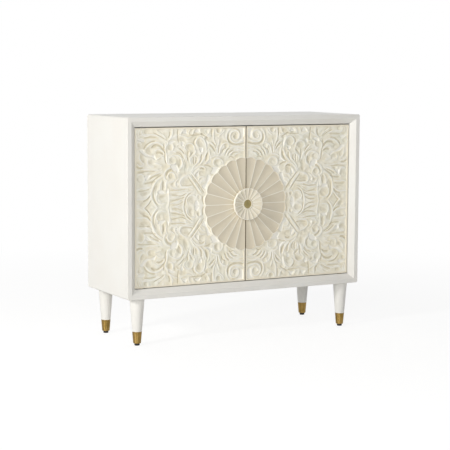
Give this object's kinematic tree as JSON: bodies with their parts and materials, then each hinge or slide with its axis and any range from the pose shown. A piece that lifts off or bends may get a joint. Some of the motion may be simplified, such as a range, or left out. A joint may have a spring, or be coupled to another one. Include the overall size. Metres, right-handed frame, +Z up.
{
  "type": "cabinet",
  "caption": "White mitred accent cabinet on tapered legs, with carved double doors sharing a petalled rosette and a round dished boss as the pull.",
  "frame": {"origin": "on the floor, under the middle of the whole cabinet", "axes": "+X to the viewer's right facing the doors, +Y from the doors to the back, +Z up"},
  "size_m": [0.914, 0.3364, 0.7675],
  "materials": {
    "white_lacquer": "satin white lacquer on wood",
    "back_board": "matt white painted hardboard",
    "carved_wood": "hand-carved, whitewashed, matt",
    "brass": "satin",
    "glide_plastic": "moulded",
    "catch_plastic": "moulded",
    "magnet": "sintered",
    "nylon": "moulded",
    "zinc_steel": "zinc plated"
  },
  "bodies": {
    "cabinet": {"back_panel": "back_board", "back_screws": "zinc_steel", "bottom_board": "white_lacquer", "catch_left": "catch_plastic", "catch_magnets": "magnet", "catch_right": "catch_plastic", "catch_screws": "zinc_steel", "ferrule_back_left": "brass", "ferrule_back_right": "brass", "ferrule_front_left": "brass", "ferrule_front_right": "brass", "glide_back_left": "glide_plastic", "glide_back_right": "glide_plastic", "glide_front_left": "glide_plastic", "glide_front_right": "glide_plastic", "hanger_bolts": "zinc_steel", "hinge_bushes": "brass", "leg_back_left": "white_lacquer", "leg_back_right": "white_lacquer", "leg_front_left": "white_lacquer", "leg_front_right": "white_lacquer", "leg_inserts": "zinc_steel", "moulding_bottom": "white_lacquer", "moulding_left": "white_lacquer", "moulding_right": "white_lacquer", "moulding_top": "white_lacquer", "shelf": "white_lacquer", "shelf_pins": "zinc_steel", "side_board_left": "white_lacquer", "side_board_right": "white_lacquer", "thrust_washers": "nylon", "top_board": "white_lacquer"},
    "left_door": {"left_boss_half": "carved_wood", "left_boss_screws": "zinc_steel", "left_cap_half": "brass", "left_carved_panel": "carved_wood", "left_door_panel": "carved_wood", "left_pivot_pins": "zinc_steel", "left_pivot_plates": "zinc_steel", "left_pivot_screws": "zinc_steel", "left_strike_plate": "zinc_steel", "left_strike_screws": "zinc_steel"},
    "right_door": {"right_boss_half": "carved_wood", "right_boss_screws": "zinc_steel", "right_cap_half": "brass", "right_carved_panel": "carved_wood", "right_door_panel": "carved_wood", "right_pivot_pins": "zinc_steel", "right_pivot_plates": "zinc_steel", "right_pivot_screws": "zinc_steel", "right_strike_plate": "zinc_steel", "right_strike_screws": "zinc_steel"}
  },
  "joints": [
    {"name": "left_door_hinge", "type": "hinge", "parent": "cabinet", "child": "left_door", "pos_m": [-0.3967, -0.13575, 0.464], "axis": [0, 0, -1], "range_deg": [0, 105]},
    {"name": "right_door_hinge", "type": "hinge", "parent": "cabinet", "child": "right_door", "pos_m": [0.3967, -0.13575, 0.464], "axis": [0, 0, 1], "range_deg": [0, 105]}
  ]
}
